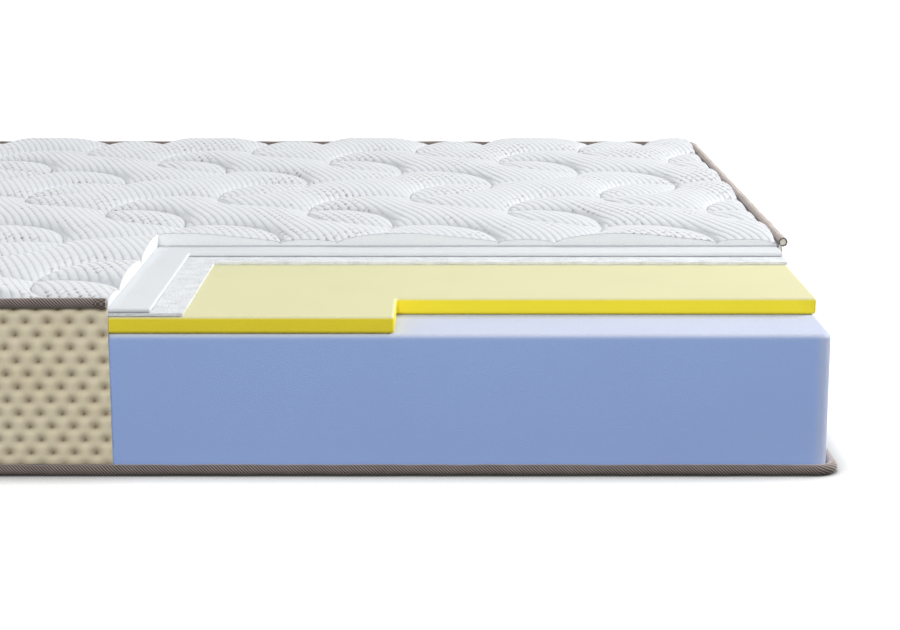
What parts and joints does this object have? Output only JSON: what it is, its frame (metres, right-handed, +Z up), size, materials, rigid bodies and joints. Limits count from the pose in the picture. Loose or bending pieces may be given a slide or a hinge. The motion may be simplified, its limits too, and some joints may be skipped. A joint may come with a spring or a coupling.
{
  "type": "memory foam mattress",
  "caption": "Low rectangular foam mattress with a quilted top and padded border; one corner of the cover is cut back in steps to show the layers.",
  "frame": {"origin": "on the floor, under the middle of the mattress", "axes": "+X along the length, towards the cut-away end; -Y is the front, the side that is cut away; +Z up"},
  "size_m": [2.012, 1.412, 0.2102],
  "materials": {
    "ticking": "white knitted jacquard with fine ribs and sparse brown flecks, quilted",
    "border_knit": "beige dimpled spacer knit, matte",
    "piping_tape": "taupe-brown twill tape",
    "piping_cord": "off-white spun filler cord",
    "base_fabric": "plain off-white non-woven fabric",
    "backing": "thin grey-white non-woven backing",
    "wadding": "white fibre wadding",
    "felt": "white-grey needled felt with loose fibres",
    "comfort_foam": "white open-cell foam, matte",
    "memory_foam": "yellow memory foam, matte with a soft pale surface",
    "core_foam": "blue-lilac resilient foam, matte with fine cells"
  },
  "bodies": {
    "root": {"core_foam": "core_foam", "memory_foam": "memory_foam", "felt_pad": "felt", "comfort_foam": "comfort_foam", "quilt_backing": "backing", "quilt_padding": "wadding", "top_fabric": "ticking", "top_piping_tape": "piping_tape", "top_piping_cord": "piping_cord", "bottom_piping_tape": "piping_tape", "bottom_piping_cord": "piping_cord", "bottom_fabric": "base_fabric", "bottom_padding": "wadding", "bottom_backing": "backing", "front_border_fabric": "border_knit", "front_border_padding": "wadding", "front_border_backing": "backing", "left_border_fabric": "border_knit", "left_border_padding": "wadding", "left_border_backing": "backing", "back_border_fabric": "border_knit", "back_border_padding": "wadding", "back_border_backing": "backing", "right_border_fabric": "border_knit", "right_border_padding": "wadding", "right_border_backing": "backing"}
  },
  "joints": []
}
